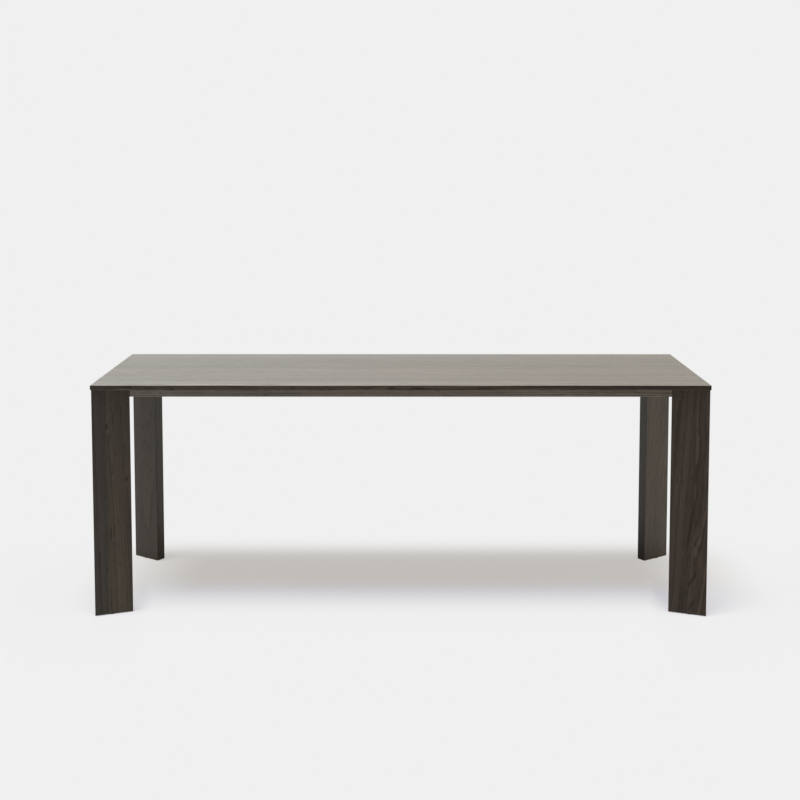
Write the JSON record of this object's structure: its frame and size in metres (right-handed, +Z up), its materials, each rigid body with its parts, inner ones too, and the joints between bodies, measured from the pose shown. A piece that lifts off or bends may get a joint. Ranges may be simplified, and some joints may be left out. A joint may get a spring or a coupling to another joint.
{
  "type": "dining table",
  "caption": "Long rectangular dining table: a thin slab of oak staves on wedge-shaped corner legs, with a frame of slim rails set back under the slab.",
  "frame": {"origin": "on the floor, below the middle of the table top", "axes": "+X along the table, +Y from the front long side to the back one, +Z up"},
  "size_m": [2, 1, 0.76],
  "materials": {
    "top_oak": "dark stained, satin lacquer",
    "leg_oak": "dark stained, satin lacquer",
    "rail_oak": "dark stained, satin lacquer",
    "frame_steel": "matt black powder coat",
    "tenon_beech": "bare",
    "fastener_steel": "bright zinc plated",
    "glide_nylon": "matt moulded"
  },
  "bodies": {
    "root": {"top_stave_1": "top_oak", "top_stave_2": "top_oak", "top_stave_3": "top_oak", "top_stave_4": "top_oak", "top_stave_5": "top_oak", "top_stave_6": "top_oak", "top_stave_7": "top_oak", "top_stave_8": "top_oak", "front_left_leg_outer_board": "leg_oak", "front_left_leg_inner_board": "leg_oak", "front_right_leg_outer_board": "leg_oak", "front_right_leg_inner_board": "leg_oak", "back_left_leg_outer_board": "leg_oak", "back_left_leg_inner_board": "leg_oak", "back_right_leg_outer_board": "leg_oak", "back_right_leg_inner_board": "leg_oak", "front_rail": "rail_oak", "back_rail": "rail_oak", "left_end_rail": "rail_oak", "right_end_rail": "rail_oak", "left_cross_rail": "rail_oak", "middle_cross_rail": "rail_oak", "right_cross_rail": "rail_oak", "front_stiffener_bar": "frame_steel", "back_stiffener_bar": "frame_steel", "front_left_corner_plate": "frame_steel", "front_right_corner_plate": "frame_steel", "back_left_corner_plate": "frame_steel", "back_right_corner_plate": "frame_steel", "loose_tenons": "tenon_beech", "leg_plate_screws": "fastener_steel", "rail_plate_screws": "fastener_steel", "leg_inserts": "fastener_steel", "top_screw_washers": "fastener_steel", "top_screws": "fastener_steel", "foot_glides": "glide_nylon"}
  },
  "joints": []
}
